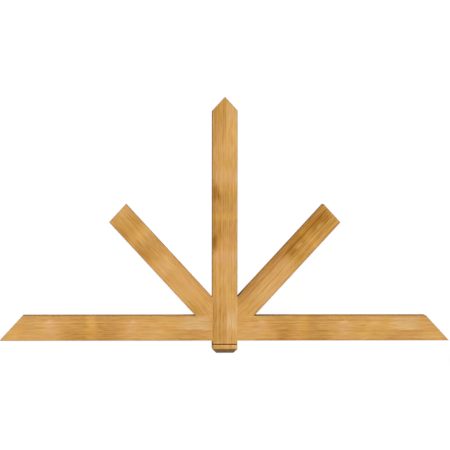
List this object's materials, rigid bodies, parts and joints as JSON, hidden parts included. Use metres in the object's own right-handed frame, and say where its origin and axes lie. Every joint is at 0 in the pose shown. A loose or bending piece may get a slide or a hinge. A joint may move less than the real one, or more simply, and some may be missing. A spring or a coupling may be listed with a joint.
{
  "type": "timber gable bracket",
  "caption": "Timber gable bracket: an upright post with a pointed head and a bevelled foot crosses a level tie beam with pitch-cut ends, and a diagonal brace rises in each corner.",
  "frame": {"origin": "on the wall plane, where the centre lines of the post and the tie beam cross", "axes": "+X along the tie beam, +Y up the post to the peak of the gable, +Z out from the wall, so the part is stored lying on its back"},
  "size_m": [1.8288, 1.0414, 0.1016],
  "materials": {
    "timber": "planed smooth, clear finish with a low sheen"
  },
  "bodies": {
    "root": {"king_post": "timber", "tie_beam": "timber", "left_brace": "timber", "right_brace": "timber"}
  },
  "joints": []
}
